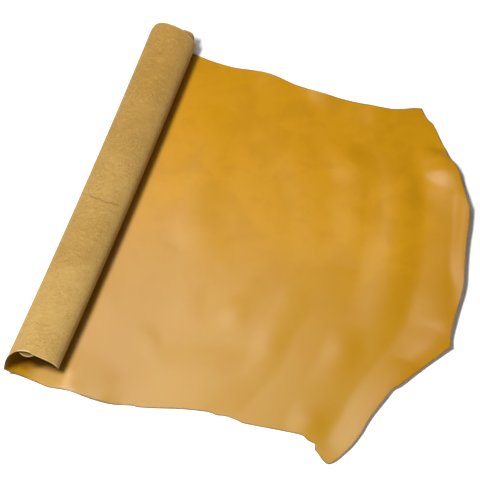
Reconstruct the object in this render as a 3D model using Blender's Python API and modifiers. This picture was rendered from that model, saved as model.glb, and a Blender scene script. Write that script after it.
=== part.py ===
"""A side of vegetable-tanned leather, part rolled.

One sheet of leather lies grain side up on the floor. Its neck end is wound over
itself, flesh side out, into a loose oval roll that runs along Y. The outline is
the uneven one of a cow side: the back along +Y, the rump and hind shank at +X,
the belly along -Y, and the fore shank and neck inside the roll.
Metres, +Z up, with the origin under the middle of the part, on the floor.
"""

import bisect
import math

import bpy
from mathutils import Matrix, Vector
from mathutils.geometry import delaunay_2d_cdt
from mathutils.kdtree import KDTree

# The leather
THICKNESS = 0.0024
GRAIN_COLOUR = (0.62, 0.33, 0.05, 1.0)
GRAIN_ROUGHNESS = 0.42

# The roll. Its outer turn is an oval, a little squarer where it leaves the floor.
ROLL_WIDTH = 0.1306
ROLL_HEIGHT = 0.0880
TURNS = 3
SIDE_PITCH_LEFT = 0.007
SIDE_PITCH_RIGHT = 0.009
TOP_PITCH = 0.011
FLOOR_GAP = 0.0010
UPPER_EXPONENT = 2.0
LOWER_EXPONENT = 2.6
# The roll lies in a slight bow, its middle nearer the flat sheet than its ends.
BOW = 0.0052
BOW_HALF_LENGTH = 0.56
BOW_FADES_BY = 0.30

# The mesh
OUTLINE_STEP = 0.018
WOUND_COLUMN = 0.0125
WOUND_ROW = 0.125
FLAT_CELL = 0.033
CLEAR_OF_OUTLINE = 0.014
SNAP = 0.003
SPIRAL_SAMPLES = 60
CREST_STEP = 0.012

# The cut outline of the whole side, laid flat. "across" is measured from the line
# where the middle of the roll touches the floor: positive on the sheet that lies
# flat, negative on what is wound up. "along" runs along the roll. A sharp point is
# a corner, and the outline is a smooth curve through the others.
SMOOTH, SHARP = False, True
OUTLINE = (
    # across, along, corner
    # belly
    (0.050, -0.574, SHARP), (0.105, -0.569, SMOOTH), (0.160, -0.576, SMOOTH),
    (0.214, -0.574, SMOOTH), (0.267, -0.561, SMOOTH), (0.282, -0.561, SMOOTH),
    (0.320, -0.552, SMOOTH), (0.373, -0.537, SMOOTH), (0.423, -0.526, SMOOTH),
    (0.457, -0.521, SMOOTH), (0.477, -0.523, SMOOTH), (0.499, -0.519, SMOOTH),
    (0.531, -0.522, SMOOTH), (0.546, -0.525, SMOOTH), (0.583, -0.522, SMOOTH),
    (0.638, -0.517, SMOOTH), (0.692, -0.514, SMOOTH), (0.710, -0.523, SMOOTH),
    # hind shank
    (0.732, -0.528, SHARP), (0.736, -0.544, SHARP), (0.779, -0.573, SMOOTH),
    (0.811, -0.529, SMOOTH), (0.830, -0.477, SMOOTH), (0.842, -0.417, SMOOTH),
    (0.860, -0.360, SMOOTH), (0.872, -0.323, SMOOTH), (0.886, -0.307, SMOOTH),
    (0.917, -0.256, SMOOTH), (0.947, -0.208, SMOOTH), (0.979, -0.159, SHARP),
    (0.972, -0.140, SMOOTH),
    # rump
    (0.967, -0.103, SMOOTH), (0.965, -0.037, SMOOTH), (0.962, 0.026, SMOOTH),
    (0.949, 0.089, SMOOTH), (0.936, 0.153, SMOOTH), (0.926, 0.217, SMOOTH),
    (0.915, 0.266, SMOOTH), (0.906, 0.282, SMOOTH), (0.874, 0.345, SMOOTH),
    (0.861, 0.370, SMOOTH), (0.838, 0.398, SMOOTH), (0.818, 0.419, SMOOTH),
    (0.806, 0.443, SMOOTH), (0.790, 0.462, SMOOTH), (0.751, 0.515, SMOOTH),
    (0.729, 0.531, SMOOTH), (0.705, 0.561, SHARP),
    # back
    (0.682, 0.555, SMOOTH), (0.650, 0.541, SMOOTH), (0.595, 0.528, SMOOTH),
    (0.535, 0.525, SMOOTH), (0.478, 0.526, SMOOTH), (0.418, 0.528, SMOOTH),
    (0.360, 0.535, SMOOTH), (0.300, 0.546, SMOOTH), (0.241, 0.549, SMOOTH),
    (0.181, 0.542, SMOOTH), (0.123, 0.544, SMOOTH), (0.062, 0.552, SMOOTH),
    # back, wound up
    (0.000, 0.556, SMOOTH), (-0.050, 0.556, SMOOTH), (-0.095, 0.556, SMOOTH),
    (-0.108, 0.562, SMOOTH), (-0.116, 0.569, SMOOTH), (-0.133, 0.571, SMOOTH),
    (-0.166, 0.567, SMOOTH), (-0.197, 0.562, SMOOTH), (-0.224, 0.553, SMOOTH),
    (-0.242, 0.551, SMOOTH), (-0.257, 0.555, SMOOTH), (-0.290, 0.560, SMOOTH),
    (-0.340, 0.556, SMOOTH), (-0.420, 0.553, SMOOTH), (-0.490, 0.562, SMOOTH),
    (-0.533, 0.575, SMOOTH), (-0.551, 0.578, SMOOTH), (-0.567, 0.573, SMOOTH),
    # neck
    (-0.600, 0.560, SMOOTH), (-0.650, 0.545, SMOOTH), (-0.730, 0.500, SMOOTH),
    (-0.810, 0.400, SMOOTH), (-0.860, 0.230, SMOOTH), (-0.870, 0.000, SMOOTH),
    (-0.850, -0.220, SMOOTH), (-0.790, -0.320, SMOOTH), (-0.700, -0.370, SMOOTH),
    (-0.620, -0.420, SMOOTH),
    # fore shank and belly, wound up
    (-0.560, -0.470, SMOOTH), (-0.515, -0.524, SMOOTH), (-0.494, -0.545, SMOOTH),
    (-0.479, -0.548, SMOOTH), (-0.463, -0.541, SMOOTH), (-0.440, -0.520, SMOOTH),
    (-0.410, -0.502, SMOOTH), (-0.360, -0.500, SMOOTH), (-0.310, -0.516, SMOOTH),
    (-0.271, -0.531, SMOOTH), (-0.253, -0.540, SMOOTH), (-0.235, -0.543, SMOOTH),
    (-0.207, -0.546, SMOOTH), (-0.181, -0.545, SMOOTH), (-0.162, -0.541, SMOOTH),
    (-0.130, -0.543, SMOOTH), (-0.111, -0.553, SMOOTH), (-0.092, -0.564, SMOOTH),
    (-0.085, -0.570, SMOOTH), (-0.078, -0.576, SHARP), (-0.062, -0.570, SMOOTH),
    (-0.041, -0.565, SMOOTH), (-0.022, -0.565, SMOOTH), (-0.002, -0.567, SMOOTH),
)

# Soft ridges on the sheet that lies flat, where the hide keeps the curve that it had
# on the animal. Each crest is a smooth line through its points, and the leather falls
# off within one width to the left of the crest and another to its right.
RIDGES = (
    # width to the left, width to the right, crest points (across, along, height)
    # three folds that sweep down from the back
    (0.075, 0.105, ((0.56, -0.02, 0.0), (0.56, 0.05, 0.001), (0.54, 0.12, 0.0015),
                    (0.51, 0.18, 0.0015), (0.46, 0.25, 0.002), (0.42, 0.32, 0.002),
                    (0.42, 0.38, 0.0))),
    (0.090, 0.065, ((0.66, 0.00, 0.0), (0.66, 0.08, 0.003), (0.65, 0.15, 0.0055),
                    (0.63, 0.21, 0.006), (0.62, 0.27, 0.007), (0.59, 0.32, 0.007),
                    (0.54, 0.34, 0.0035), (0.49, 0.33, 0.0))),
    (0.090, 0.075, ((0.75, -0.22, 0.0), (0.78, -0.13, 0.0025), (0.78, -0.04, 0.005),
                    (0.77, 0.05, 0.007), (0.75, 0.15, 0.0095), (0.73, 0.23, 0.0105),
                    (0.71, 0.31, 0.011), (0.67, 0.37, 0.0055), (0.64, 0.43, 0.0))),
    # the raised rim of the rump, its corner, the hind shank and the curled edge
    (0.135, 0.090, ((0.95, -0.24, 0.0), (0.96, -0.17, 0.011), (0.97, -0.10, 0.017),
                    (0.96, -0.02, 0.014), (0.95, 0.06, 0.0105), (0.94, 0.14, 0.011),
                    (0.93, 0.23, 0.013), (0.91, 0.32, 0.017), (0.86, 0.38, 0.012),
                    (0.83, 0.42, 0.0))),
    (0.040, 0.085, ((0.73, 0.415, 0.0), (0.77, 0.408, 0.007), (0.81, 0.406, 0.0125),
                    (0.85, 0.390, 0.0095), (0.89, 0.365, 0.0))),
    (0.090, 0.065, ((0.78, -0.60, 0.0), (0.83, -0.54, 0.006), (0.85, -0.47, 0.009),
                    (0.86, -0.39, 0.009), (0.88, -0.32, 0.0095), (0.90, -0.26, 0.0085),
                    (0.93, -0.19, 0.004), (0.95, -0.13, 0.0))),
    (0.045, 0.050, ((0.99, -0.06, 0.0), (0.98, 0.02, 0.009), (0.95, 0.10, 0.0085),
                    (0.93, 0.20, 0.009), (0.91, 0.29, 0.008), (0.88, 0.37, 0.0))),
    # the wavy edge of the back and the corner beside it
    (0.050, 0.090, ((0.23, 0.57, 0.0), (0.27, 0.57, 0.0045), (0.31, 0.55, 0.0025),
                    (0.35, 0.55, 0.0), (0.40, 0.57, 0.007), (0.45, 0.56, 0.0075),
                    (0.49, 0.55, 0.002), (0.54, 0.54, 0.0035), (0.58, 0.54, 0.007),
                    (0.63, 0.54, 0.0))),
    (0.080, 0.120, ((0.60, 0.40, 0.0), (0.64, 0.41, 0.002), (0.69, 0.41, 0.0015),
                    (0.73, 0.40, 0.0))),
    # low swells beside the roll and along the belly
    (0.080, 0.100, ((0.19, -0.06, 0.0), (0.22, 0.00, 0.0025), (0.21, 0.06, 0.0035),
                    (0.20, 0.15, 0.004), (0.19, 0.24, 0.0045), (0.18, 0.32, 0.004),
                    (0.19, 0.40, 0.0))),
    (0.090, 0.110, ((0.25, 0.02, 0.0), (0.27, -0.02, 0.0005), (0.30, -0.06, 0.0015),
                    (0.31, -0.11, 0.0015), (0.34, -0.15, 0.0))),
    (0.125, 0.030, ((0.06, -0.58, 0.0), (0.11, -0.55, 0.005), (0.17, -0.58, 0.008),
                    (0.23, -0.60, 0.0))),
    (0.135, 0.160, ((0.22, -0.47, 0.0), (0.30, -0.48, 0.003), (0.38, -0.45, 0.004),
                    (0.46, -0.44, 0.003), (0.54, -0.47, 0.0))),
    (0.040, 0.065, ((0.51, -0.40, 0.0), (0.53, -0.32, 0.002), (0.53, -0.25, 0.0025),
                    (0.55, -0.17, 0.0015), (0.55, -0.10, 0.0005), (0.57, -0.03, 0.0))),
    (0.055, 0.060, ((0.71, -0.38, 0.0), (0.71, -0.31, 0.001), (0.72, -0.24, 0.0025),
                    (0.71, -0.17, 0.0))),
    (0.045, 0.050, ((0.73, -0.51, 0.0), (0.74, -0.55, 0.002), (0.78, -0.56, 0.001),
                    (0.80, -0.59, 0.0))),
    (0.060, 0.055, ((0.72, -0.54, 0.0), (0.70, -0.48, 0.0025), (0.70, -0.42, 0.0005),
                    (0.69, -0.35, 0.0))),
    # small dents of the loose flank
    (0.030, 0.045, ((0.36, -0.43, 0.0), (0.29, -0.43, 0.0005), (0.24, -0.37, 0.002),
                    (0.20, -0.33, 0.0005), (0.16, -0.28, 0.0))),
    (0.050, 0.055, ((0.10, -0.42, 0.0), (0.12, -0.36, 0.0005), (0.09, -0.28, 0.002),
                    (0.08, -0.18, 0.0))),
    (0.035, 0.055, ((0.42, -0.28, 0.0), (0.42, -0.22, 0.0025), (0.44, -0.16, 0.001),
                    (0.45, -0.10, 0.0))),
    (0.065, 0.055, ((0.33, -0.30, 0.0), (0.30, -0.24, 0.0015), (0.30, -0.17, 0.0015),
                    (0.35, -0.12, 0.0))),
)


def catmull_rom(before, start, end, after, share):
    """The point at this share of the way from start to end on the smooth curve."""
    squared, cubed = share * share, share * share * share
    return 0.5 * (
        2 * start
        + (end - before) * share
        + (2 * before - 5 * start + 4 * end - after) * squared
        + (3 * start - before - 3 * end + after) * cubed
    )


def smooth_line(points, sharp, closed, step):
    """Points about step apart on the curve through these points, cornered at the sharp ones."""
    count = len(points)
    spans = count if closed else count - 1
    line = []
    for i in range(spans):
        start, end = points[i], points[(i + 1) % count]
        before = points[i - 1] if closed or i else 2 * start - end
        after = points[(i + 2) % count] if closed or i + 2 < count else 2 * end - start
        if sharp[i]:
            before = 2 * start - end
        if sharp[(i + 1) % count]:
            after = 2 * end - start
        steps = max(1, round((end - start).length / step))
        line += [
            catmull_rom(before, start, end, after, k / steps) for k in range(steps)
        ]
    if not closed:
        line.append(points[-1])
    return line


def outline():
    """The cut outline in the flat, clockwise, as a closed line of points."""
    points = [Vector((across, along)) for across, along, _ in OUTLINE]
    sharp = [corner for _, _, corner in OUTLINE]
    return smooth_line(points, sharp, True, OUTLINE_STEP)


def turn_extremes(turn):
    """Where the middle of the leather is lowest, leftmost, highest and rightmost in a turn."""
    half = THICKNESS / 2
    left = -ROLL_WIDTH / 2 + half + turn * SIDE_PITCH_LEFT
    right = ROLL_WIDTH / 2 - half - turn * SIDE_PITCH_RIGHT
    low = half + turn * (THICKNESS + FLOOR_GAP)
    high = ROLL_HEIGHT - half - turn * TOP_PITCH
    middle = (left + right) / 2 if turn else 0.0
    level = (low + high) / 2
    return {"low": (middle, low), "left": (left, level), "high": (middle, high),
            "right": (right, level)}


def quarter(start, end, exponent, starts_level, share):
    """A point on a quarter oval between two extremes. It leaves level or upright."""
    angle = share * math.pi / 2
    rise, run = math.sin(angle) ** (2 / exponent), math.cos(angle) ** (2 / exponent)
    (x0, z0), (x1, z1) = start, end
    if starts_level:
        return Vector((x0 + (x1 - x0) * rise, z1 + (z0 - z1) * run))
    return Vector((x1 + (x0 - x1) * run, z0 + (z1 - z0) * rise))


def spiral():
    """The roll's section: points (x, z) of the middle of the leather, from the floor inwards."""
    line = [Vector(turn_extremes(0)["low"])]
    for number in range(math.ceil(TURNS)):
        now, following = turn_extremes(number), turn_extremes(number + 1)
        quarters = (
            (now["low"], now["left"], LOWER_EXPONENT, True),
            (now["left"], now["high"], UPPER_EXPONENT, False),
            (now["high"], now["right"], UPPER_EXPONENT, True),
            (now["right"], following["low"], LOWER_EXPONENT, False),
        )
        for start, end, exponent, starts_level in quarters:
            line += [
                quarter(start, end, exponent, starts_level, k / SPIRAL_SAMPLES)
                for k in range(1, SPIRAL_SAMPLES + 1)
            ]
    return line


def arc_lengths(line):
    """How far along the section each of its points is from the first."""
    lengths = [0.0]
    for start, end in zip(line, line[1:]):
        lengths.append(lengths[-1] + (end - start).length)
    return lengths


def crest_line(points):
    """A ridge's crest as a smooth line of points, with a tree to find the nearest."""
    points = [Vector(point) for point in points]
    line = smooth_line(points, [False] * len(points), False, CREST_STEP)
    tree = KDTree(len(line))
    for index, point in enumerate(line):
        tree.insert((point.x, point.y, 0.0), index)
    tree.balance()
    return line, tree


SPIRAL = spiral()
SPIRAL_LENGTHS = arc_lengths(SPIRAL)
CRESTS = [crest_line(points) for _, _, points in RIDGES]


def ridge_lift(point, left, right, crest, tree):
    """How far one ridge lifts the leather at this point of the flat sheet."""
    _, index, distance = tree.find(point.to_3d())
    if distance > max(left, right) + CREST_STEP:
        return 0.0
    nearest, height, width = math.inf, 0.0, left
    for start, end in zip(crest[max(0, index - 1):index + 1], crest[max(1, index):index + 2]):
        run = (end - start).to_2d()
        share = (point - start.to_2d()).dot(run) / run.length_squared
        foot = start.lerp(end, min(1.0, max(0.0, share)))
        offset = point - foot.to_2d()
        if offset.length_squared < nearest:
            nearest, height = offset.length_squared, foot.z
            width = left if run.cross(offset) > 0 else right
    away = nearest / (width * width)
    return max(0.0, height) * (1 - away) ** 2 if away < 1 else 0.0


def relief(point):
    """The lift of the leather off the floor at this point of the flat sheet."""
    return sum(
        ridge_lift(point, left, right, crest, tree)
        for (left, right, _), (crest, tree) in zip(RIDGES, CRESTS)
    )


def bow(point):
    """How far sideways the bow of the roll carries this point of the flat pattern."""
    share = min(1.0, max(0.0, point.x / BOW_FADES_BY))
    fade = 1 - share * share * (3 - 2 * share)
    return BOW * fade * (1 - (point.y / BOW_HALF_LENGTH) ** 2)


def bend(point):
    """Where a point of the flat pattern is on the part, in the middle of the leather."""
    if point.x >= 0:
        return Vector((point.x + bow(point), point.y, THICKNESS / 2 + relief(point)))
    last = bisect.bisect_left(SPIRAL_LENGTHS, -point.x)
    if last >= len(SPIRAL):
        raise ValueError("the outline reaches past the end of the spiral")
    first = last - 1
    share = (-point.x - SPIRAL_LENGTHS[first]) / (SPIRAL_LENGTHS[last] - SPIRAL_LENGTHS[first])
    x, z = SPIRAL[first].lerp(SPIRAL[last], share)
    return Vector((x + bow(point), point.y, z))


def cut_at_columns(line, columns):
    """The outline with a point wherever it crosses a column of the wound part."""
    for point in line:
        column = WOUND_COLUMN * round(point.x / WOUND_COLUMN)
        if point.x < 0 and abs(point.x - column) < SNAP:
            point.x = column
    cut = []
    for start, end in zip(line, line[1:] + line[:1]):
        low, high = sorted((start.x, end.x))
        between = [column for column in columns if low + 1e-6 < column < high - 1e-6]
        cut.append(start)
        cut += [
            Vector((column, start.y + (end.y - start.y) * (column - start.x) / (end.x - start.x)))
            for column in sorted(between, reverse=end.x < start.x)
        ]
    return cut


def inside(point, line):
    """Whether the point lies within the closed line."""
    odd = False
    for start, end in zip(line, line[1:] + line[:1]):
        if (start.y > point.y) != (end.y > point.y):
            crossing = start.x + (end.x - start.x) * (point.y - start.y) / (end.y - start.y)
            odd ^= point.x < crossing
    return odd


def column_runs(column, line):
    """The stretches of one column that lie within the outline, each as a line of points."""
    ends = sorted(
        (i for i, point in enumerate(line) if abs(point.x - column) < 1e-6),
        key=lambda i: line[i].y,
    )
    runs = []
    for first, last in zip(ends, ends[1:]):
        low, high = line[first].y, line[last].y
        if not inside(Vector((column, (low + high) / 2)), line):
            continue
        steps = max(1, round((high - low) / WOUND_ROW))
        between = [
            Vector((column, low + (high - low) * k / steps)) for k in range(1, steps)
        ]
        runs.append((first, between, last))
    return runs


def flat_grid(line):
    """Points spread evenly over the flat sheet, clear of its outline."""
    points = []
    rows = round(1.3 / (FLAT_CELL * 0.866))
    for row in range(rows):
        along = -0.65 + row * FLAT_CELL * 0.866
        for cell in range(round(1.1 / FLAT_CELL)):
            point = Vector(((cell + 0.6 + 0.5 * (row % 2)) * FLAT_CELL, along))
            clear = min((point - other).length for other in line) > CLEAR_OF_OUTLINE
            if clear and inside(point, line):
                points.append(point)
    return points


def pattern():
    """The flat pattern as triangles: its points, and the three indices of each."""
    columns = [-k * WOUND_COLUMN for k in range(int(SPIRAL_LENGTHS[-1] / WOUND_COLUMN))]
    line = cut_at_columns(outline(), columns)
    points = list(line)
    edges = [(i, (i + 1) % len(line)) for i in range(len(line))]
    for column in columns:
        for first, between, last in column_runs(column, line):
            chain = [first] + list(range(len(points), len(points) + len(between))) + [last]
            points += between
            edges += list(zip(chain, chain[1:]))
    points += flat_grid(line)
    found, _, faces, _, _, _ = delaunay_2d_cdt(points, edges, [], 1, 1e-6)
    return found, faces


def hide_object():
    """The whole hide as one object, with its thickness as a modifier."""
    points, faces = pattern()
    mesh = bpy.data.meshes.new("hide")
    mesh.from_pydata([bend(point) for point in points], [], faces)
    hide = bpy.data.objects.new("hide", mesh)
    bpy.context.scene.collection.objects.link(hide)
    modifier = hide.modifiers.new("Thickness", "SOLIDIFY")
    modifier.thickness = THICKNESS
    modifier.offset = 0.0
    modifier.use_even_offset = True
    return hide


def leather():
    """Amber vegetable-tanned leather."""
    material = bpy.data.materials.new("leather")
    material.use_nodes = True
    shader = material.node_tree.nodes["Principled BSDF"]
    shader.inputs["Base Color"].default_value = GRAIN_COLOUR
    shader.inputs["Roughness"].default_value = GRAIN_ROUGHNESS
    return material


def centre(hide):
    """Move the mesh so that the origin is under the middle of the part."""
    bpy.context.view_layer.update()
    corners = [Vector(corner) for corner in hide.bound_box]
    low = Vector(min(corner[axis] for corner in corners) for axis in range(3))
    high = Vector(max(corner[axis] for corner in corners) for axis in range(3))
    shift = Vector((-(low.x + high.x) / 2, -(low.y + high.y) / 2, 0.0))
    hide.data.transform(Matrix.Translation(shift))


for old in list(bpy.data.objects):
    bpy.data.objects.remove(old)
side = hide_object()
side.data.materials.append(leather())
centre(side)
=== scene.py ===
"""The looks of a part-rolled side of vegetable-tanned leather.

The hide is one sheet with its thickness, laid out from the same cut outline and wound
by the same section as the solid, on a finer mesh. It has three materials: the smooth
amber grain, the matt suede back and the pale cut edge. Metres, +Z up.
"""

import bisect
import functools
import math

import bpy
from mathutils import Euler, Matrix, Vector
from mathutils.geometry import delaunay_2d_cdt
from mathutils.kdtree import KDTree


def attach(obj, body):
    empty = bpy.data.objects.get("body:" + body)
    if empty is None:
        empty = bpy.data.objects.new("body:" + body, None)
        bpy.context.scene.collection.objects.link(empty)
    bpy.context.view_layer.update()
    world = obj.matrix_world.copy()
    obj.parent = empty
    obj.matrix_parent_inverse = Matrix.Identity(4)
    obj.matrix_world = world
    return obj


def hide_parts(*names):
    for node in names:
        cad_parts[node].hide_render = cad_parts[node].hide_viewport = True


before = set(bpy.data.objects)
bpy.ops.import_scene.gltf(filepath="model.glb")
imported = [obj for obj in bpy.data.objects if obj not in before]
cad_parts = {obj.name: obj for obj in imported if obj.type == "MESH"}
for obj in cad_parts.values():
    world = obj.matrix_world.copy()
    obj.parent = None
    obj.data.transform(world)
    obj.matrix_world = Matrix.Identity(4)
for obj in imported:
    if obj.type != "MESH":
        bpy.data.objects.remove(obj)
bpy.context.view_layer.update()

# The leather
THICKNESS = 0.0024

# The roll. Its outer turn is an oval, a little squarer where it leaves the floor.
ROLL_WIDTH = 0.1306
ROLL_HEIGHT = 0.0880
TURNS = 3
SIDE_PITCH_LEFT = 0.007
SIDE_PITCH_RIGHT = 0.009
TOP_PITCH = 0.011
FLOOR_GAP = 0.0010
UPPER_EXPONENT = 2.0
LOWER_EXPONENT = 2.6
# The roll lies in a slight bow, its middle nearer the flat sheet than its ends.
BOW = 0.0052
BOW_HALF_LENGTH = 0.56
BOW_FADES_BY = 0.30

# Where the part's origin is on the flat pattern.
ORIGIN_ACROSS = 0.4568
ORIGIN_ALONG = 0.0008

# The mesh: the steps along the outline, over the wound part and over the flat part
OUTLINE_STEP = 0.005
WOUND_COLUMN = 0.005
WOUND_ROW = 0.012
FLAT_CELL = 0.0085
# The rows of the flat part reach this far each way, past the outline.
FLAT_HALF_LENGTH = 0.6
# How clear of the outline a point inside it stays, how near two points count as one,
# and how near the outline a point counts as on the cut
CLEAR_OF_OUTLINE = 0.004
SAME_POINT = 1e-6
ON_THE_CUT = 1e-4
# What delaunay_2d_cdt gives back: the triangles inside the outline and no others
INSIDE_ONLY = 1
# Points on a quarter of a turn of the roll, and the step along a ridge's crest
SPIRAL_SAMPLES = 120
CREST_STEP = 0.012

# The grain's and the suede's tones run along Y between these two ends.
ENDS = (-0.58, 0.58)

# Every noise is scale, detail, roughness and distortion, where the last ones may be left
# out. Every share is given as two levels of what it follows, then the share at each: it
# runs smoothly between them.

# The grain: its own tone from the belly edge to the back edge
AMBER_ALONG = (
    (-0.55, (0.36, 0.184, 0.002, 1.0)), (-0.30, (0.385, 0.19, 0.0025, 1.0)),
    (-0.12, (0.405, 0.195, 0.003, 1.0)), (0.08, (0.475, 0.225, 0.0035, 1.0)),
    (0.33, (0.48, 0.223, 0.003, 1.0)), (0.50, (0.47, 0.217, 0.001, 1.0)),
)
GRAIN_ROUGHNESS = 0.27
GRAIN_SPECULAR = 0.90
# darker clouds and mottling, and a darker edge of the rump
AMBER_DARK = (0.385, 0.170, 0.0008, 1.0)
CLOUDS = (9.0, 3.0, 0.55, 0.6)
CLOUD_SHARE = (0.42, 0.64, 0.0, 0.4)
MOTTLE = (30.0, 4.0, 0.6)
MOTTLE_SHARE = (0.45, 0.75, 0.0, 0.3)
RUMP_SHARE = (0.33, 0.46, 0.0, 0.75)
# painted shade: slightly darker grain beside the roll, where the roll shades the sheet, fading
# out across and along
AMBER_ROLL_SHADE = (0.28, 0.13, 0.001, 1.0)
ROLL_SHADE_ACROSS = (-0.26, -0.10, 0.34, 0.0)
ROLL_SHADE_ALONG = (-0.45, 0.25, 1.0, 0.0)
# painted shade in the mouth of the roll, where its top shades the grain: it fades out
# across, sets in along Y, and sets in by Y less X too, so it comes nearer to the lip further out
AMBER_MOUTH_SHADE = (0.185, 0.075, 0.001, 1.0)
MOUTH_SHADE_ACROSS = (-0.485, -0.445, 0.9, 0.0)
MOUTH_SHADE_ALONG = (-0.553, -0.538, 0.0, 1.0)
MOUTH_SHADE_SLANT = (-0.062, -0.042, 0.0, 1.0)
# paler grain in front of the mouth: where it starts and ends across, and fades along
AMBER_PALE_PATCH = (0.43, 0.245, 0.055, 1.0)
PALE_PATCH_STARTS = (-0.480, -0.435, 0.0, 1.0)
PALE_PATCH_ENDS = (-0.375, -0.345, 1.0, 0.0)
PALE_PATCH_ALONG = (-0.530, -0.500, 1.0, 0.0)
# dark grain right at the cut
GRAIN_RIM = (0.15, 0.085, 0.02, 1.0)
GRAIN_RIM_SHARE = (0.55, 0.95, 0.0, 0.75)
# its fine creases, drawn out along Y, and their height and strength
FINE_CREASES = (180.0, 3.0, 0.6, 0.4)
FINE_CREASE_STRETCH = (1.0, 0.45, 1.0)
FINE_CREASE_BUMP = (0.0001, 0.4)

# The suede: its own tone from the belly end of the roll to the back end, and how far
# a noise shifts that along
TAN_ALONG = (
    (-0.33, (0.38, 0.24, 0.07, 1.0)), (-0.24, (0.33, 0.195, 0.05, 1.0)),
    (-0.14, (0.32, 0.19, 0.045, 1.0)), (-0.04, (0.37, 0.225, 0.06, 1.0)),
    (0.20, (0.325, 0.185, 0.04, 1.0)), (0.27, (0.36, 0.205, 0.045, 1.0)),
    (0.38, (0.32, 0.175, 0.03, 1.0)), (0.48, (0.36, 0.20, 0.04, 1.0)),
)
TAN_DARK = (0.25, 0.13, 0.022, 1.0)
TAN_PALE = (0.47, 0.30, 0.10, 1.0)
DRIFT = (14.0, 3.0, 0.55)
DRIFT_REACH = (0.3, 0.7, -0.025, 0.025)
SUEDE_ROUGHNESS = 0.92
SUEDE_SPECULAR = 0.2
SUEDE_SHEEN = 0.2
SUEDE_SHEEN_ROUGHNESS = 0.5
SUEDE_SHEEN_TINT = (1.0, 0.8, 0.5, 1.0)
# painted light: the lower flank of the roll beside the sheet, painted paler as if lit
TAN_FLANK_LIGHT = (0.50, 0.315, 0.080, 1.0)
FLANK_LIGHT_SHARE = (-0.425, -0.358, 0.0, 0.9)
# soft dark blotches, then fine streaks round the roll, pale and dark
BLOTCHES = (34.0, 4.0, 0.65, 0.3)
BLOTCH_SHARE = (0.42, 0.70, 0.0, 0.22)
STREAKS = (110.0, 5.0, 0.75, 1.0)
STREAK_STRETCH = (0.5, 1.2, 0.8)
STREAK_TURN = 0.3
STREAK_PALE_SHARE = (0.50, 0.68, 0.0, 0.5)
STREAK_DARK_SHARE = (0.34, 0.48, 0.35, 0.0)
# pills and pits of the nap, a few millimetres across, where it is worn
PILLS = (240.0, 2.0, 0.6, 0.0)
PILL_STRETCH = (0.8, 1.2, 1.0)
PILL_SHARE = (0.55, 0.64, 0.0, 0.55)
PIT_SHARE = (0.34, 0.44, 0.75, 0.0)
PILL_HEIGHT = 0.6
WORN = (11.0, 3.0, 0.6)
WORN_SHARE = (0.46, 0.62, 0.15, 1.0)
# wrinkles: a warped net of short cracks, broken into lines, in patches along the crown
WARP_SCALE = 70.0
WARP_DETAIL = 3.0
WARP_REACH = 0.012
NET_SCALE = 110.0
CRACK_SHARE = (0.02, 0.14, 1.0, 0.0)
LINES = (150.0, 4.0, 0.7, 0.8)
LINE_STRETCH = (0.7, 1.4, 1.0)
LINE_SHARE = (0.42, 0.58, 0.0, 1.0)
PATCHES = (15.0, 3.0, 0.6)
PATCH_SHARE = (0.42, 0.56, 0.1, 1.0)
CROWN_SHARE = (0.045, 0.080, 0.25, 1.0)
WRINKLE_DARKNESS = 0.5
WRINKLE_DEPTH = 0.3
# creases round the roll: middle across and along, bend, half length and depth
CREASES = (
    (-0.441, -0.049, 5.0, 0.052, 1.4),
    (-0.420, -0.066, 3.0, 0.030, 0.5),
    (-0.440, 0.168, 4.0, 0.035, -0.6),
    (-0.462, -0.455, 9.0, 0.030, 0.6),
)
CREASE_WIDTH = 0.0032
CREASE_FADES_FROM = 0.6
CREASE_WAVES = (60.0, 2.0)
CREASE_WAVE_REACH = (0.3, 0.7, -0.002, 0.002)
CREASE_SHARE = (0.0, 1.0, 0.0, 0.7)
CREASE_RELIEF = 1.2
# The flat pattern past this line, on the belly's half, is the tongue in the mouth, painted
# darker: painted shade where the outer turn shades it.
TONGUE = -0.40
TAN_TONGUE_SHADE = (0.13, 0.065, 0.012, 1.0)
TONGUE_SHADE_SHARE = 0.85
# painted highlight: pale suede right at the cut, where its edge catches the light
FLESH_RIM_HIGHLIGHT = (0.66, 0.47, 0.23, 1.0)
FLESH_RIM_HIGHLIGHT_SHARE = (0.65, 1.0, 0.0, 0.8)
# the height and strength of its relief, and of the nap over it
RELIEF_BUMP = (0.0016, 0.8)
NAP = (900.0, 3.0, 0.7, 0.0)
NAP_STRETCH = (1.0, 0.6, 1.0)
NAP_BUMP = (0.0004, 0.6)

# The cut edge: fibres from dark to pale along it, by their noise
EDGE_DARK = (0.20, 0.11, 0.03, 1.0)
EDGE_PALE = (0.36, 0.23, 0.10, 1.0)
FIBRES = (700.0, 3.0, 0.6, 0.0)
FIBRE_STRETCH = (1.0, 1.0, 3.0)
FIBRE_STOPS = (0.35, 0.65)
FIBRE_BUMP = (0.0003, 0.6)
EDGE_ROUGHNESS = 0.85
# painted shade on the cut: brown low down, by height, by the floor, and dark on the outer side
# of the mouth, at the lip
EDGE_LOW_SHADE = (0.16, 0.09, 0.03, 1.0)
LOW_SHADE_BY_HEIGHT = (0.004, 0.020, 1.0, 0.0)
EDGE_LIP_SHADE = (0.05, 0.018, 0.004, 1.0)
LIP_SHADE_ACROSS = (-0.515, -0.492, 1.0, 0.0)

# Where the suede and the cut edge come among the hide's materials, after the grain
FLESH = 1
CUT = 2

# A Mix node's sockets for colours, which share their names with its other kinds
MIX_INPUTS = (0, 6, 7)
MIX_RESULT = 2

# An edge sharper than this is shaded as an edge.
SHARP_EDGE = math.radians(50)

# The floor and the surround
FLOOR_SIZE = 24.0
FLOOR_LEVEL = -0.0004
FLOOR_COLOUR = (0.97, 0.97, 0.97, 1.0)
FLOOR_ROUGHNESS = 0.9
SURROUND_COLOUR = (1.0, 1.0, 1.0, 1.0)
SURROUND_STRENGTH = 0.022

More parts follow.
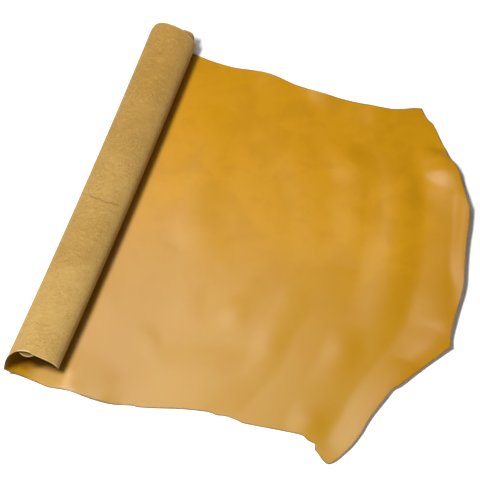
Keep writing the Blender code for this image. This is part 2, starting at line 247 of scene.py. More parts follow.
# The camera
LENS = 187.5
SENSOR = 36.0
CAMERA_ELEVATION = math.radians(55)
CAMERA_AZIMUTH = math.radians(17.72)
CAMERA_DISTANCE = 6.5
CAMERA_TARGET = Vector((-0.0871, -0.0008, 0.0))

# The lights: azimuth (from +Y towards +X), elevation, distance, width, depth, power
LIGHTS = {
    "key": (math.radians(-138), math.radians(62), 4.2, 0.72, 1.08, 230.0),
    "back": (math.radians(-73), math.radians(67), 2.1, 1.9, 1.0, 14.0),
    "fill": (math.radians(140), math.radians(28), 3.0, 2.0, 1.2, 19.0),
}

# The cut outline of the whole side, laid flat. "across" is measured from the line
# where the middle of the roll touches the floor: positive on the sheet that lies
# flat, negative on what is wound up. "along" runs along the roll. A sharp point is
# a corner, and the outline is a smooth curve through the others.
SMOOTH, SHARP = False, True
OUTLINE = (
    # across, along, corner
    # belly
    (0.050, -0.574, SHARP), (0.105, -0.569, SMOOTH), (0.160, -0.576, SMOOTH),
    (0.214, -0.574, SMOOTH), (0.267, -0.561, SMOOTH), (0.282, -0.561, SMOOTH),
    (0.320, -0.552, SMOOTH), (0.373, -0.537, SMOOTH), (0.423, -0.526, SMOOTH),
    (0.457, -0.521, SMOOTH), (0.477, -0.523, SMOOTH), (0.499, -0.519, SMOOTH),
    (0.531, -0.522, SMOOTH), (0.546, -0.525, SMOOTH), (0.583, -0.522, SMOOTH),
    (0.638, -0.517, SMOOTH), (0.692, -0.514, SMOOTH), (0.710, -0.523, SMOOTH),
    # hind shank
    (0.732, -0.528, SHARP), (0.736, -0.544, SHARP), (0.779, -0.573, SMOOTH),
    (0.811, -0.529, SMOOTH), (0.830, -0.477, SMOOTH), (0.842, -0.417, SMOOTH),
    (0.860, -0.360, SMOOTH), (0.872, -0.323, SMOOTH), (0.886, -0.307, SMOOTH),
    (0.917, -0.256, SMOOTH), (0.947, -0.208, SMOOTH), (0.979, -0.159, SHARP),
    (0.972, -0.140, SMOOTH),
    # rump
    (0.967, -0.103, SMOOTH), (0.965, -0.037, SMOOTH), (0.962, 0.026, SMOOTH),
    (0.949, 0.089, SMOOTH), (0.936, 0.153, SMOOTH), (0.926, 0.217, SMOOTH),
    (0.915, 0.266, SMOOTH), (0.906, 0.282, SMOOTH), (0.874, 0.345, SMOOTH),
    (0.861, 0.370, SMOOTH), (0.838, 0.398, SMOOTH), (0.818, 0.419, SMOOTH),
    (0.806, 0.443, SMOOTH), (0.790, 0.462, SMOOTH), (0.751, 0.515, SMOOTH),
    (0.729, 0.531, SMOOTH), (0.705, 0.561, SHARP),
    # back
    (0.682, 0.555, SMOOTH), (0.650, 0.541, SMOOTH), (0.595, 0.528, SMOOTH),
    (0.535, 0.525, SMOOTH), (0.478, 0.526, SMOOTH), (0.418, 0.528, SMOOTH),
    (0.360, 0.535, SMOOTH), (0.300, 0.546, SMOOTH), (0.241, 0.549, SMOOTH),
    (0.181, 0.542, SMOOTH), (0.123, 0.544, SMOOTH), (0.062, 0.552, SMOOTH),
    # back, wound up
    (0.000, 0.556, SMOOTH), (-0.050, 0.556, SMOOTH), (-0.095, 0.556, SMOOTH),
    (-0.108, 0.562, SMOOTH), (-0.116, 0.569, SMOOTH), (-0.133, 0.571, SMOOTH),
    (-0.166, 0.567, SMOOTH), (-0.197, 0.562, SMOOTH), (-0.224, 0.553, SMOOTH),
    (-0.242, 0.551, SMOOTH), (-0.257, 0.555, SMOOTH), (-0.290, 0.560, SMOOTH),
    (-0.340, 0.556, SMOOTH), (-0.420, 0.553, SMOOTH), (-0.490, 0.562, SMOOTH),
    (-0.533, 0.575, SMOOTH), (-0.551, 0.578, SMOOTH), (-0.567, 0.573, SMOOTH),
    # neck
    (-0.600, 0.560, SMOOTH), (-0.650, 0.545, SMOOTH), (-0.730, 0.500, SMOOTH),
    (-0.810, 0.400, SMOOTH), (-0.860, 0.230, SMOOTH), (-0.870, 0.000, SMOOTH),
    (-0.850, -0.220, SMOOTH), (-0.790, -0.320, SMOOTH), (-0.700, -0.370, SMOOTH),
    (-0.620, -0.420, SMOOTH),
    # fore shank and belly, wound up
    (-0.560, -0.470, SMOOTH), (-0.515, -0.524, SMOOTH), (-0.494, -0.545, SMOOTH),
    (-0.479, -0.548, SMOOTH), (-0.463, -0.541, SMOOTH), (-0.440, -0.520, SMOOTH),
    (-0.410, -0.502, SMOOTH), (-0.360, -0.500, SMOOTH), (-0.310, -0.516, SMOOTH),
    (-0.271, -0.531, SMOOTH), (-0.253, -0.540, SMOOTH), (-0.235, -0.543, SMOOTH),
    (-0.207, -0.546, SMOOTH), (-0.181, -0.545, SMOOTH), (-0.162, -0.541, SMOOTH),
    (-0.130, -0.543, SMOOTH), (-0.111, -0.553, SMOOTH), (-0.092, -0.564, SMOOTH),
    (-0.085, -0.570, SMOOTH), (-0.078, -0.576, SHARP), (-0.062, -0.570, SMOOTH),
    (-0.041, -0.565, SMOOTH), (-0.022, -0.565, SMOOTH), (-0.002, -0.567, SMOOTH),
)

# Soft ridges on the sheet that lies flat, where the hide keeps the curve that it had
# on the animal. Each crest is a smooth line through its points, and the leather falls
# off within one width to the left of the crest and another to its right.
RIDGES = (
    # width to the left, width to the right, crest points (across, along, height)
    # three folds that sweep down from the back
    (0.075, 0.105, ((0.56, -0.02, 0.0), (0.56, 0.05, 0.001), (0.54, 0.12, 0.0015),
                    (0.51, 0.18, 0.0015), (0.46, 0.25, 0.002), (0.42, 0.32, 0.002),
                    (0.42, 0.38, 0.0))),
    (0.090, 0.065, ((0.66, 0.00, 0.0), (0.66, 0.08, 0.003), (0.65, 0.15, 0.0055),
                    (0.63, 0.21, 0.006), (0.62, 0.27, 0.007), (0.59, 0.32, 0.007),
                    (0.54, 0.34, 0.0035), (0.49, 0.33, 0.0))),
    (0.090, 0.075, ((0.75, -0.22, 0.0), (0.78, -0.13, 0.0025), (0.78, -0.04, 0.005),
                    (0.77, 0.05, 0.007), (0.75, 0.15, 0.0095), (0.73, 0.23, 0.0105),
                    (0.71, 0.31, 0.011), (0.67, 0.37, 0.0055), (0.64, 0.43, 0.0))),
    # the raised rim of the rump, its corner, the hind shank and the curled edge
    (0.135, 0.090, ((0.95, -0.24, 0.0), (0.96, -0.17, 0.011), (0.97, -0.10, 0.017),
                    (0.96, -0.02, 0.014), (0.95, 0.06, 0.0105), (0.94, 0.14, 0.011),
                    (0.93, 0.23, 0.013), (0.91, 0.32, 0.017), (0.86, 0.38, 0.012),
                    (0.83, 0.42, 0.0))),
    (0.040, 0.085, ((0.73, 0.415, 0.0), (0.77, 0.408, 0.007), (0.81, 0.406, 0.0125),
                    (0.85, 0.390, 0.0095), (0.89, 0.365, 0.0))),
    (0.090, 0.065, ((0.78, -0.60, 0.0), (0.83, -0.54, 0.006), (0.85, -0.47, 0.009),
                    (0.86, -0.39, 0.009), (0.88, -0.32, 0.0095), (0.90, -0.26, 0.0085),
                    (0.93, -0.19, 0.004), (0.95, -0.13, 0.0))),
    (0.045, 0.050, ((0.99, -0.06, 0.0), (0.98, 0.02, 0.009), (0.95, 0.10, 0.0085),
                    (0.93, 0.20, 0.009), (0.91, 0.29, 0.008), (0.88, 0.37, 0.0))),
    # the wavy edge of the back and the corner beside it
    (0.050, 0.090, ((0.23, 0.57, 0.0), (0.27, 0.57, 0.0045), (0.31, 0.55, 0.0025),
                    (0.35, 0.55, 0.0), (0.40, 0.57, 0.007), (0.45, 0.56, 0.0075),
                    (0.49, 0.55, 0.002), (0.54, 0.54, 0.0035), (0.58, 0.54, 0.007),
                    (0.63, 0.54, 0.0))),
    (0.080, 0.120, ((0.60, 0.40, 0.0), (0.64, 0.41, 0.002), (0.69, 0.41, 0.0015),
                    (0.73, 0.40, 0.0))),
    # low swells beside the roll and along the belly
    (0.080, 0.100, ((0.19, -0.06, 0.0), (0.22, 0.00, 0.0025), (0.21, 0.06, 0.0035),
                    (0.20, 0.15, 0.004), (0.19, 0.24, 0.0045), (0.18, 0.32, 0.004),
                    (0.19, 0.40, 0.0))),
    (0.090, 0.110, ((0.25, 0.02, 0.0), (0.27, -0.02, 0.0005), (0.30, -0.06, 0.0015),
                    (0.31, -0.11, 0.0015), (0.34, -0.15, 0.0))),
    (0.125, 0.030, ((0.06, -0.58, 0.0), (0.11, -0.55, 0.005), (0.17, -0.58, 0.008),
                    (0.23, -0.60, 0.0))),
    (0.135, 0.160, ((0.22, -0.47, 0.0), (0.30, -0.48, 0.003), (0.38, -0.45, 0.004),
                    (0.46, -0.44, 0.003), (0.54, -0.47, 0.0))),
    (0.040, 0.065, ((0.51, -0.40, 0.0), (0.53, -0.32, 0.002), (0.53, -0.25, 0.0025),
                    (0.55, -0.17, 0.0015), (0.55, -0.10, 0.0005), (0.57, -0.03, 0.0))),
    (0.055, 0.060, ((0.71, -0.38, 0.0), (0.71, -0.31, 0.001), (0.72, -0.24, 0.0025),
                    (0.71, -0.17, 0.0))),
    (0.045, 0.050, ((0.73, -0.51, 0.0), (0.74, -0.55, 0.002), (0.78, -0.56, 0.001),
                    (0.80, -0.59, 0.0))),
    (0.060, 0.055, ((0.72, -0.54, 0.0), (0.70, -0.48, 0.0025), (0.70, -0.42, 0.0005),
                    (0.69, -0.35, 0.0))),
    # small dents of the loose flank
    (0.030, 0.045, ((0.36, -0.43, 0.0), (0.29, -0.43, 0.0005), (0.24, -0.37, 0.002),
                    (0.20, -0.33, 0.0005), (0.16, -0.28, 0.0))),
    (0.050, 0.055, ((0.10, -0.42, 0.0), (0.12, -0.36, 0.0005), (0.09, -0.28, 0.002),
                    (0.08, -0.18, 0.0))),
    (0.035, 0.055, ((0.42, -0.28, 0.0), (0.42, -0.22, 0.0025), (0.44, -0.16, 0.001),
                    (0.45, -0.10, 0.0))),
    (0.065, 0.055, ((0.33, -0.30, 0.0), (0.30, -0.24, 0.0015), (0.30, -0.17, 0.0015),
                    (0.35, -0.12, 0.0))),
)


def catmull_rom(before, start, end, after, share):
    """The point at this share of the way from start to end on the smooth curve."""
    squared, cubed = share * share, share * share * share
    return 0.5 * (
        2 * start
        + (end - before) * share
        + (2 * before - 5 * start + 4 * end - after) * squared
        + (3 * start - before - 3 * end + after) * cubed
    )


def smooth_line(points, sharp, closed, step):
    """Points about step apart on the curve through these points, cornered at the sharp ones."""
    count = len(points)
    spans = count if closed else count - 1
    line = []
    for i in range(spans):
        start, end = points[i], points[(i + 1) % count]
        before = points[i - 1] if closed or i else 2 * start - end
        after = points[(i + 2) % count] if closed or i + 2 < count else 2 * end - start
        if sharp[i]:
            before = 2 * start - end
        if sharp[(i + 1) % count]:
            after = 2 * end - start
        steps = max(1, round((end - start).length / step))
        line += [
            catmull_rom(before, start, end, after, k / steps) for k in range(steps)
        ]
    if not closed:
        line.append(points[-1])
    return line


def outline():
    """The cut outline in the flat, as a closed line of points, counterclockwise from above."""
    points = [Vector((across, along)) for across, along, _ in OUTLINE]
    sharp = [corner for _, _, corner in OUTLINE]
    return smooth_line(points, sharp, True, OUTLINE_STEP)


def turn_extremes(turn):
    """Where the middle of the leather is lowest, leftmost, highest and rightmost in a turn."""
    half = THICKNESS / 2
    left = -ROLL_WIDTH / 2 + half + turn * SIDE_PITCH_LEFT
    right = ROLL_WIDTH / 2 - half - turn * SIDE_PITCH_RIGHT
    low = half + turn * (THICKNESS + FLOOR_GAP)
    high = ROLL_HEIGHT - half - turn * TOP_PITCH
    middle = (left + right) / 2 if turn else 0.0
    level = (low + high) / 2
    return {"low": (middle, low), "left": (left, level), "high": (middle, high),
            "right": (right, level)}


def quarter(start, end, exponent, starts_level, share):
    """A point on a quarter oval between two extremes. It leaves level or upright."""
    angle = share * math.pi / 2
    rise, run = math.sin(angle) ** (2 / exponent), math.cos(angle) ** (2 / exponent)
    (x0, z0), (x1, z1) = start, end
    if starts_level:
        return Vector((x0 + (x1 - x0) * rise, z1 + (z0 - z1) * run))
    return Vector((x1 + (x0 - x1) * run, z0 + (z1 - z0) * rise))


def spiral():
    """The roll's section: points (x, z) of the middle of the leather, from the floor inwards."""
    line = [Vector(turn_extremes(0)["low"])]
    for number in range(TURNS):
        now, following = turn_extremes(number), turn_extremes(number + 1)
        quarters = (
            (now["low"], now["left"], LOWER_EXPONENT, True),
            (now["left"], now["high"], UPPER_EXPONENT, False),
            (now["high"], now["right"], UPPER_EXPONENT, True),
            (now["right"], following["low"], LOWER_EXPONENT, False),
        )
        for start, end, exponent, starts_level in quarters:
            line += [
                quarter(start, end, exponent, starts_level, k / SPIRAL_SAMPLES)
                for k in range(1, SPIRAL_SAMPLES + 1)
            ]
    return line


def arc_lengths(line):
    """How far along the section each of its points is from the first."""
    lengths = [0.0]
    for start, end in zip(line, line[1:]):
        lengths.append(lengths[-1] + (end - start).length)
    return lengths


def crest_line(points):
    """A ridge's crest as a smooth line of points, with a tree to find the nearest."""
    points = [Vector(point) for point in points]
    line = smooth_line(points, [False] * len(points), False, CREST_STEP)
    tree = KDTree(len(line))
    for index, point in enumerate(line):
        tree.insert((point.x, point.y, 0.0), index)
    tree.balance()
    return line, tree


SPIRAL = spiral()
SPIRAL_LENGTHS = arc_lengths(SPIRAL)
CRESTS = [crest_line(points) for _, _, points in RIDGES]


def ridge_lift(point, left, right, crest, tree):
    """How far one ridge lifts the leather at this point of the flat sheet."""
    _, index, distance = tree.find(point.to_3d())
    if distance > max(left, right) + CREST_STEP:
        return 0.0
    nearest, height, width = math.inf, 0.0, left
    for start, end in zip(crest[max(0, index - 1):index + 1], crest[max(1, index):index + 2]):
        run = (end - start).to_2d()
        share = (point - start.to_2d()).dot(run) / run.length_squared
        foot = start.lerp(end, min(1.0, max(0.0, share)))
        offset = point - foot.to_2d()
        if offset.length_squared < nearest:
            nearest, height = offset.length_squared, foot.z
            width = left if run.cross(offset) > 0 else right
    away = nearest / (width * width)
    return max(0.0, height) * (1 - away) ** 2 if away < 1 else 0.0


def relief(point):
    """The lift of the leather off the floor at this point of the flat sheet."""
    return sum(
        ridge_lift(point, left, right, crest, tree)
        for (left, right, _), (crest, tree) in zip(RIDGES, CRESTS)
    )


def bow(point):
    """How far sideways the bow of the roll carries this point of the flat pattern."""
    share = min(1.0, max(0.0, point.x / BOW_FADES_BY))
    fade = 1 - share * share * (3 - 2 * share)
    return BOW * fade * (1 - (point.y / BOW_HALF_LENGTH) ** 2)


def bend(point):
    """Where a point of the flat pattern is on the part, in the middle of the leather."""
    if point.x >= 0:
        return Vector((point.x + bow(point), point.y, THICKNESS / 2 + relief(point)))
    last = bisect.bisect_left(SPIRAL_LENGTHS, -point.x)
    if last >= len(SPIRAL):
        raise ValueError("the outline reaches past the end of the spiral")
    first = last - 1
    share = (-point.x - SPIRAL_LENGTHS[first]) / (SPIRAL_LENGTHS[last] - SPIRAL_LENGTHS[first])
    x, z = SPIRAL[first].lerp(SPIRAL[last], share)
    return Vector((x + bow(point), point.y, z))


def row_runs(line, axis, level):
    """The stretches of a straight row across the closed line, at this level of the axis."""
    crossings = sorted(
        start[1 - axis]
        + (end[1 - axis] - start[1 - axis]) * (level - start[axis]) / (end[axis] - start[axis])
        for start, end in zip(line, line[1:] + line[:1])
        if (start[axis] > level) != (end[axis] > level)
    )
    return zip(crossings[::2], crossings[1::2])


def wound_grid(line):
    """Points in straight columns and rows over the wound part of the pattern."""
    points = []
    for column in range(int(SPIRAL_LENGTHS[-1] / WOUND_COLUMN)):
        across = -column * WOUND_COLUMN
        for low, high in row_runs(line, 0, across):
            points += [
                Vector((across, row * WOUND_ROW))
                for row in range(math.ceil(low / WOUND_ROW), math.floor(high / WOUND_ROW) + 1)
            ]
    return points


def flat_grid(line):
    """Points spread evenly over the part of the pattern that lies flat."""
    points = []
    row_height = FLAT_CELL * math.sqrt(0.75)
    rows = math.ceil(FLAT_HALF_LENGTH / row_height)
    for row in range(-rows, rows + 1):
        for low, high in row_runs(line, 1, row * row_height):
            offset = 0.5 * (row % 2)
            first = max(1, math.ceil(low / FLAT_CELL - offset))
            last = math.floor(high / FLAT_CELL - offset)
            points += [
                Vector(((cell + offset) * FLAT_CELL, row * row_height))
                for cell in range(first, last + 1)
            ]
    return points


def pattern():
    """The flat pattern as triangles: points, faces, and which points are on the cut."""
    line = outline()
    tree = KDTree(len(line))
    for index, point in enumerate(line):
        tree.insert(point.to_3d(), index)
    tree.balance()
    points = line + [
        point for point in wound_grid(line) + flat_grid(line)
        if tree.find(point.to_3d())[2] > CLEAR_OF_OUTLINE
    ]
    edges = [(i, (i + 1) % len(line)) for i in range(len(line))]
    found, _, faces, _, _, _ = delaunay_2d_cdt(points, edges, [], INSIDE_ONLY, SAME_POINT)
    at_the_cut = [tree.find(point.to_3d())[2] < ON_THE_CUT for point in found]
    return found, faces, at_the_cut


def hide_object(materials):
    """The whole hide as one mesh: grain above, flesh below, and the cut edge between."""
    points, faces, at_the_cut = pattern()
    origin = Vector((ORIGIN_ACROSS, ORIGIN_ALONG, 0.0))
    mesh = bpy.data.meshes.new("leather_hide")
    mesh.from_pydata([bend(point) - origin for point in points], [], faces)
    rim = mesh.attributes.new("rim", "FLOAT", "POINT")
    shaded_tongue = mesh.attributes.new("shaded_tongue", "FLOAT", "POINT")
    for index, point in enumerate(points):
        rim.data[index].value = float(at_the_cut[index])
        shaded_tongue.data[index].value = float(point.x < TONGUE and point.y < 0.0)
    hide = bpy.data.objects.new("leather_hide", mesh)
    bpy.context.scene.collection.objects.link(hide)
    for material in materials:
        mesh.materials.append(material)
    leather = hide.modifiers.new("Thickness", "SOLIDIFY")
    leather.thickness = THICKNESS
    leather.offset = 0.0
    leather.use_even_offset = True
    leather.material_offset = FLESH
    leather.material_offset_rim = CUT
    graph = bpy.context.evaluated_depsgraph_get()
    solid = bpy.data.meshes.new_from_object(hide.evaluated_get(graph))
    hide.modifiers.clear()
    hide.data = solid
    solid.name = "leather_hide"
    bpy.data.meshes.remove(mesh)
    solid.shade_smooth()
    solid.set_sharp_from_angle(angle=SHARP_EDGE)
    return hide


class Nodes:
    """A material's node tree, with short calls to add a node and join it up."""

    def __init__(self, name):
        self.material = bpy.data.materials.new(name)
        self.material.use_nodes = True
        self.tree = self.material.node_tree
        self.shader = self.tree.nodes["Principled BSDF"]
        self.place = self.add("ShaderNodeTexCoord").outputs["Object"]

    def add(self, kind, values=None, **settings):
        """A node with these settings. A value is a number, a colour or another node's output."""
        node = self.tree.nodes.new(kind)
        for name, setting in settings.items():
            setattr(node, name, setting)
        for name, value in (values or {}).items():
            if isinstance(value, bpy.types.NodeSocket):
                self.tree.links.new(value, node.inputs[name])
            else:
                node.inputs[name].default_value = value
        return node

    def stretched(self, scale, turn=0.0):
        """The place on the object, scaled along each axis and turned about Z."""
        return self.add("ShaderNodeMapping", {
            "Vector": self.place, "Scale": scale, "Rotation": (0.0, 0.0, turn),
        }).outputs["Vector"]

    def noise(self, scale, detail=3.0, roughness=0.5, distortion=0.0, place=None):
        """Cloudy noise from 0 to 1."""
        return self.add("ShaderNodeTexNoise", {
            "Vector": place or self.place, "Scale": scale, "Detail": detail,
            "Roughness": roughness, "Distortion": distortion,
        }).outputs["Fac"]

    def ramp(self, factor, *stops):
        """A colour that follows the factor through (position, colour) stops."""
        node = self.add("ShaderNodeValToRGB", {"Fac": factor})
        elements = node.color_ramp.elements
        while len(elements) < len(stops):
            elements.new(0.5)
        for element, (position, colour) in zip(elements, stops):
            element.position = position
            element.color = colour
        return node.outputs["Color"]

    @staticmethod
    def stops(tones, low, high):
        """A table of (place, colour), with the places made to run from 0 to 1."""
        return [((place - low) / (high - low), tone) for place, tone in tones]

    def range(self, factor, low, high, to_low, to_high):
        """The factor's range from low to high made to run from to_low to to_high."""
        return self.add("ShaderNodeMapRange", {
            "Value": factor, "From Min": low, "From Max": high,
            "To Min": to_low, "To Max": to_high,
        }, interpolation_type="SMOOTHSTEP").outputs["Result"]

    def straight(self, factor, low, high):
        """The factor's range from low to high made to run evenly from 0 to 1."""
        return self.add("ShaderNodeMapRange", {
            "Value": factor, "From Min": low, "From Max": high,
        }).outputs["Result"]

    def math(self, operation, first, second):
        """One operation on two values."""
        node = self.add("ShaderNodeMath", operation=operation)
        for socket, value in zip(node.inputs, (first, second)):
            if isinstance(value, bpy.types.NodeSocket):
                self.tree.links.new(value, socket)
            else:
                socket.default_value = value
        return node.outputs["Value"]

    def sum(self, *values):
        """All the values added up."""
        return functools.reduce(lambda first, second: self.math("ADD", first, second), values)

    def product(self, *values):
        """All the values multiplied."""
        return functools.reduce(
            lambda first, second: self.math("MULTIPLY", first, second), values)

    def mix(self, factor, first, second, blend="MIX"):
        """Two colours mixed."""
        node = self.add("ShaderNodeMix", data_type="RGBA", blend_type=blend)
        for index, value in zip(MIX_INPUTS, (factor, first, second)):
            if isinstance(value, bpy.types.NodeSocket):
                self.tree.links.new(value, node.inputs[index])
            else:
                node.inputs[index].default_value = value
        return node.outputs[MIX_RESULT]

    def marked(self, mark):
        """The mark that the mesh carries here, from 0 to 1."""
        return self.add("ShaderNodeAttribute", attribute_name=mark).outputs["Fac"]

    def bump(self, height, distance, strength=1.0, below=None):
        """A bump of this height in metres, on top of another bump if one is given."""
        values = {"Height": height, "Distance": distance, "Strength": strength}
        if below is not None:
            values["Normal"] = below
        return self.add("ShaderNodeBump", values).outputs["Normal"]

    def finish(self, **inputs):
        """Join these values to the shader, named as its sockets are."""
        for name, value in inputs.items():
            socket = self.shader.inputs[name.replace("_", " ")]
            if isinstance(value, bpy.types.NodeSocket):
                self.tree.links.new(value, socket)
            else:
                socket.default_value = value
        return self.material


def grain_leather():
    """The smooth side: amber, softly mottled and glossy, darker at the very edge, with painted
    shade beside the roll and in its mouth, and a paler patch in front of the mouth.
    """
    n = Nodes("grain_leather")
    axes = n.add("ShaderNodeSeparateXYZ", {"Vector": n.place}).outputs
    colour = n.ramp(n.straight(axes["Y"], *ENDS), *n.stops(AMBER_ALONG, *ENDS))
    colour = n.mix(n.range(n.noise(*CLOUDS), *CLOUD_SHARE), colour, AMBER_DARK)
    colour = n.mix(n.range(n.noise(*MOTTLE), *MOTTLE_SHARE), colour, AMBER_DARK)
    colour = n.mix(n.range(axes["X"], *RUMP_SHARE), colour, AMBER_DARK)
    # painted shade: the grain darkened beside the roll
    near = n.product(n.range(axes["X"], *ROLL_SHADE_ACROSS), n.range(axes["Y"], *ROLL_SHADE_ALONG))
    colour = n.mix(near, colour, AMBER_ROLL_SHADE)
    # painted shade inside the mouth of the roll
    slant = n.math("SUBTRACT", axes["Y"], axes["X"])
    inwards = n.math("MAXIMUM", n.range(axes["Y"], *MOUTH_SHADE_ALONG), n.range(slant, *MOUTH_SHADE_SLANT))
    colour = n.mix(n.product(n.range(axes["X"], *MOUTH_SHADE_ACROSS), inwards), colour, AMBER_MOUTH_SHADE)
    pale_patch = n.product(n.range(axes["X"], *PALE_PATCH_STARTS), n.range(axes["X"], *PALE_PATCH_ENDS),
                    n.range(axes["Y"], *PALE_PATCH_ALONG))
    colour = n.mix(pale_patch, colour, AMBER_PALE_PATCH)
    colour = n.mix(n.range(n.marked("rim"), *GRAIN_RIM_SHARE), colour, GRAIN_RIM)
    creases = n.noise(*FINE_CREASES, n.stretched(FINE_CREASE_STRETCH))
    return n.finish(Base_Color=colour, Roughness=GRAIN_ROUGHNESS,
                    Normal=n.bump(creases, *FINE_CREASE_BUMP),
                    Specular_IOR_Level=GRAIN_SPECULAR)


def crease(n, axes, across, along, bend, reach, depth):
    """How deep a crease round the roll is here: a bent line that fades out at its ends."""
    offset = n.sum(axes["X"], -across)
    line = n.sum(axes["Y"], -along, n.product(offset, offset, -bend),
                 n.range(n.noise(*CREASE_WAVES), *CREASE_WAVE_REACH))
    near = n.range(n.math("ABSOLUTE", line, 0.0), 0.0, CREASE_WIDTH, 1.0, 0.0)
    fades_from = CREASE_FADES_FROM * reach
    ends = n.range(n.math("ABSOLUTE", offset, 0.0), fades_from, reach, 1.0, 0.0)
    return n.product(near, ends, depth)


def wrinkles(n, axes):
    """How deep the net of short cracks along the crown of the roll is here."""
    warp = n.add("ShaderNodeTexNoise", {
        "Vector": n.place, "Scale": WARP_SCALE, "Detail": WARP_DETAIL,
    }).outputs["Color"]
    warped = n.mix(WARP_REACH, n.place, warp, "ADD")
    net = n.add("ShaderNodeTexVoronoi", {"Vector": warped, "Scale": NET_SCALE},
                feature="DISTANCE_TO_EDGE").outputs["Distance"]
    lines = n.noise(*LINES, n.stretched(LINE_STRETCH))
    return n.product(n.range(net, *CRACK_SHARE), n.range(lines, *LINE_SHARE),
                     n.range(axes["Z"], *CROWN_SHARE), n.range(n.noise(*PATCHES), *PATCH_SHARE))


def flesh_leather():
    """The suede side: tan, matt and napped, crazed with fine wrinkles along its crown, with
    painted light on its lower flank, painted shade on the tongue in the mouth and a painted
    highlight at the cut.
    """
    n = Nodes("flesh_leather")
    axes = n.add("ShaderNodeSeparateXYZ", {"Vector": n.place}).outputs
    along = n.sum(axes["Y"], n.range(n.noise(*DRIFT), *DRIFT_REACH))
    colour = n.ramp(n.straight(along, *ENDS), *n.stops(TAN_ALONG, *ENDS))
    # painted light on the roll's lower flank
    colour = n.mix(n.range(axes["X"], *FLANK_LIGHT_SHARE), colour, TAN_FLANK_LIGHT)
    colour = n.mix(n.range(n.noise(*BLOTCHES), *BLOTCH_SHARE), colour, TAN_DARK)
    streaks = n.noise(*STREAKS, n.stretched(STREAK_STRETCH, STREAK_TURN))
    colour = n.mix(n.range(streaks, *STREAK_PALE_SHARE), colour, TAN_PALE)
    colour = n.mix(n.range(streaks, *STREAK_DARK_SHARE), colour, TAN_DARK)
    pills = n.noise(*PILLS, n.stretched(PILL_STRETCH))
    worn = n.range(n.noise(*WORN), *WORN_SHARE)
    colour = n.mix(n.product(n.range(pills, *PILL_SHARE), worn), colour, TAN_PALE)
    colour = n.mix(n.product(n.range(pills, *PIT_SHARE), worn), colour, TAN_DARK)
    cracks = wrinkles(n, axes)
    colour = n.mix(n.product(cracks, WRINKLE_DARKNESS), colour, TAN_DARK)
    relief = n.math("SUBTRACT", streaks, n.product(cracks, WRINKLE_DEPTH))
    for row in CREASES:
        groove = crease(n, axes, *row)
        colour = n.mix(n.range(groove, *CREASE_SHARE), colour, TAN_DARK)
        relief = n.math("SUBTRACT", relief, n.product(groove, CREASE_RELIEF))
    relief = n.sum(relief, n.product(pills, worn, PILL_HEIGHT))
    # painted shade on the tongue inside the mouth
    colour = n.mix(n.product(n.marked("shaded_tongue"), TONGUE_SHADE_SHARE), colour, TAN_TONGUE_SHADE)
    # painted highlight along the cut of the suede
    colour = n.mix(n.range(n.marked("rim"), *FLESH_RIM_HIGHLIGHT_SHARE), colour, FLESH_RIM_HIGHLIGHT)
    nap = n.noise(*NAP, n.stretched(NAP_STRETCH))
    return n.finish(Base_Color=colour, Roughness=SUEDE_ROUGHNESS,
                    Normal=n.bump(nap, *NAP_BUMP, n.bump(relief, *RELIEF_BUMP)),
                    Specular_IOR_Level=SUEDE_SPECULAR, Sheen_Weight=SUEDE_SHEEN,
                    Sheen_Roughness=SUEDE_SHEEN_ROUGHNESS, Sheen_Tint=SUEDE_SHEEN_TINT)


def cut_edge():
    """The knife cut through the leather: tan fibres, with painted shade that makes it brown by
    the floor and dark at the lip.
    """
    n = Nodes("cut_edge")
    axes = n.add("ShaderNodeSeparateXYZ", {"Vector": n.place}).outputs
    fibres = n.noise(*FIBRES, n.stretched(FIBRE_STRETCH))
    colour = n.ramp(fibres, *zip(FIBRE_STOPS, (EDGE_DARK, EDGE_PALE)))
    # painted shade on the cut by the floor
    colour = n.mix(n.range(axes["Z"], *LOW_SHADE_BY_HEIGHT), colour, EDGE_LOW_SHADE)
    # painted shade on the cut at the lip
    colour = n.mix(n.range(axes["X"], *LIP_SHADE_ACROSS), colour, EDGE_LIP_SHADE)
    return n.finish(Base_Color=colour, Roughness=EDGE_ROUGHNESS,
                    Normal=n.bump(fibres, *FIBRE_BUMP))


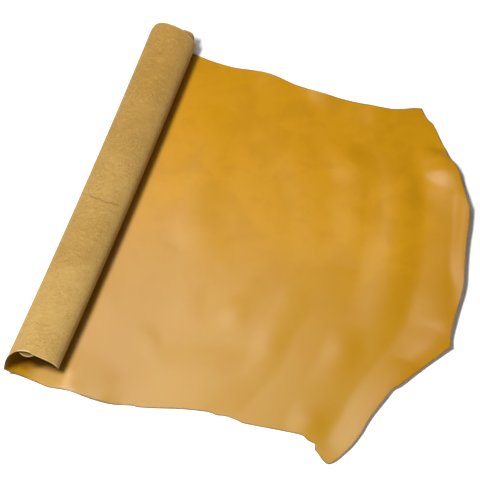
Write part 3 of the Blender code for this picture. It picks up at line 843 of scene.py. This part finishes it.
def plain_material(name, colour, roughness):
    """One even colour, for the floor."""
    material = bpy.data.materials.new(name)
    material.use_nodes = True
    shader = material.node_tree.nodes["Principled BSDF"]
    shader.inputs["Base Color"].default_value = colour
    shader.inputs["Roughness"].default_value = roughness
    return material


def make_floor():
    """A wide pale floor under the hide."""
    bpy.ops.mesh.primitive_plane_add(size=FLOOR_SIZE, location=(0.0, 0.0, FLOOR_LEVEL))
    floor = bpy.context.object
    floor.name = "floor"
    floor.data.materials.append(plain_material("floor", FLOOR_COLOUR, FLOOR_ROUGHNESS))


def make_light(name, azimuth, elevation, distance, width, depth, power):
    """An oblong soft light that aims at the middle of the hide."""
    light = bpy.data.lights.new(name, "AREA")
    light.shape = "RECTANGLE"
    light.size = width
    light.size_y = depth
    light.energy = power
    lamp = bpy.data.objects.new(name, light)
    bpy.context.scene.collection.objects.link(lamp)
    level = math.cos(elevation)
    away = Vector((math.sin(azimuth) * level, math.cos(azimuth) * level, math.sin(elevation)))
    lamp.location = away * distance
    lamp.rotation_euler = away.to_track_quat("Z", "Y").to_euler()


def make_world():
    """An even, dim, white surround."""
    world = bpy.data.worlds.new("surround")
    world.use_nodes = True
    background = world.node_tree.nodes["Background"]
    background.inputs["Color"].default_value = SURROUND_COLOUR
    background.inputs["Strength"].default_value = SURROUND_STRENGTH
    bpy.context.scene.world = world


def make_camera():
    """The camera, above the belly edge and looking down on the hide through a long lens."""
    camera = bpy.data.cameras.new("camera")
    camera.lens = LENS
    camera.sensor_width = SENSOR
    eye = bpy.data.objects.new("camera", camera)
    bpy.context.scene.collection.objects.link(eye)
    turn = Euler((math.pi / 2 - CAMERA_ELEVATION, 0.0, CAMERA_AZIMUTH))
    eye.rotation_euler = turn
    eye.location = CAMERA_TARGET + turn.to_matrix() @ Vector((0.0, 0.0, CAMERA_DISTANCE))
    bpy.context.scene.camera = eye


make_camera()
side = hide_object((grain_leather(), flesh_leather(), cut_edge()))
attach(side, "root")
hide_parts("hide")
make_floor()
make_world()
for name, setting in LIGHTS.items():
    make_light(name, *setting)
bpy.context.scene.view_settings.view_transform = "Standard"
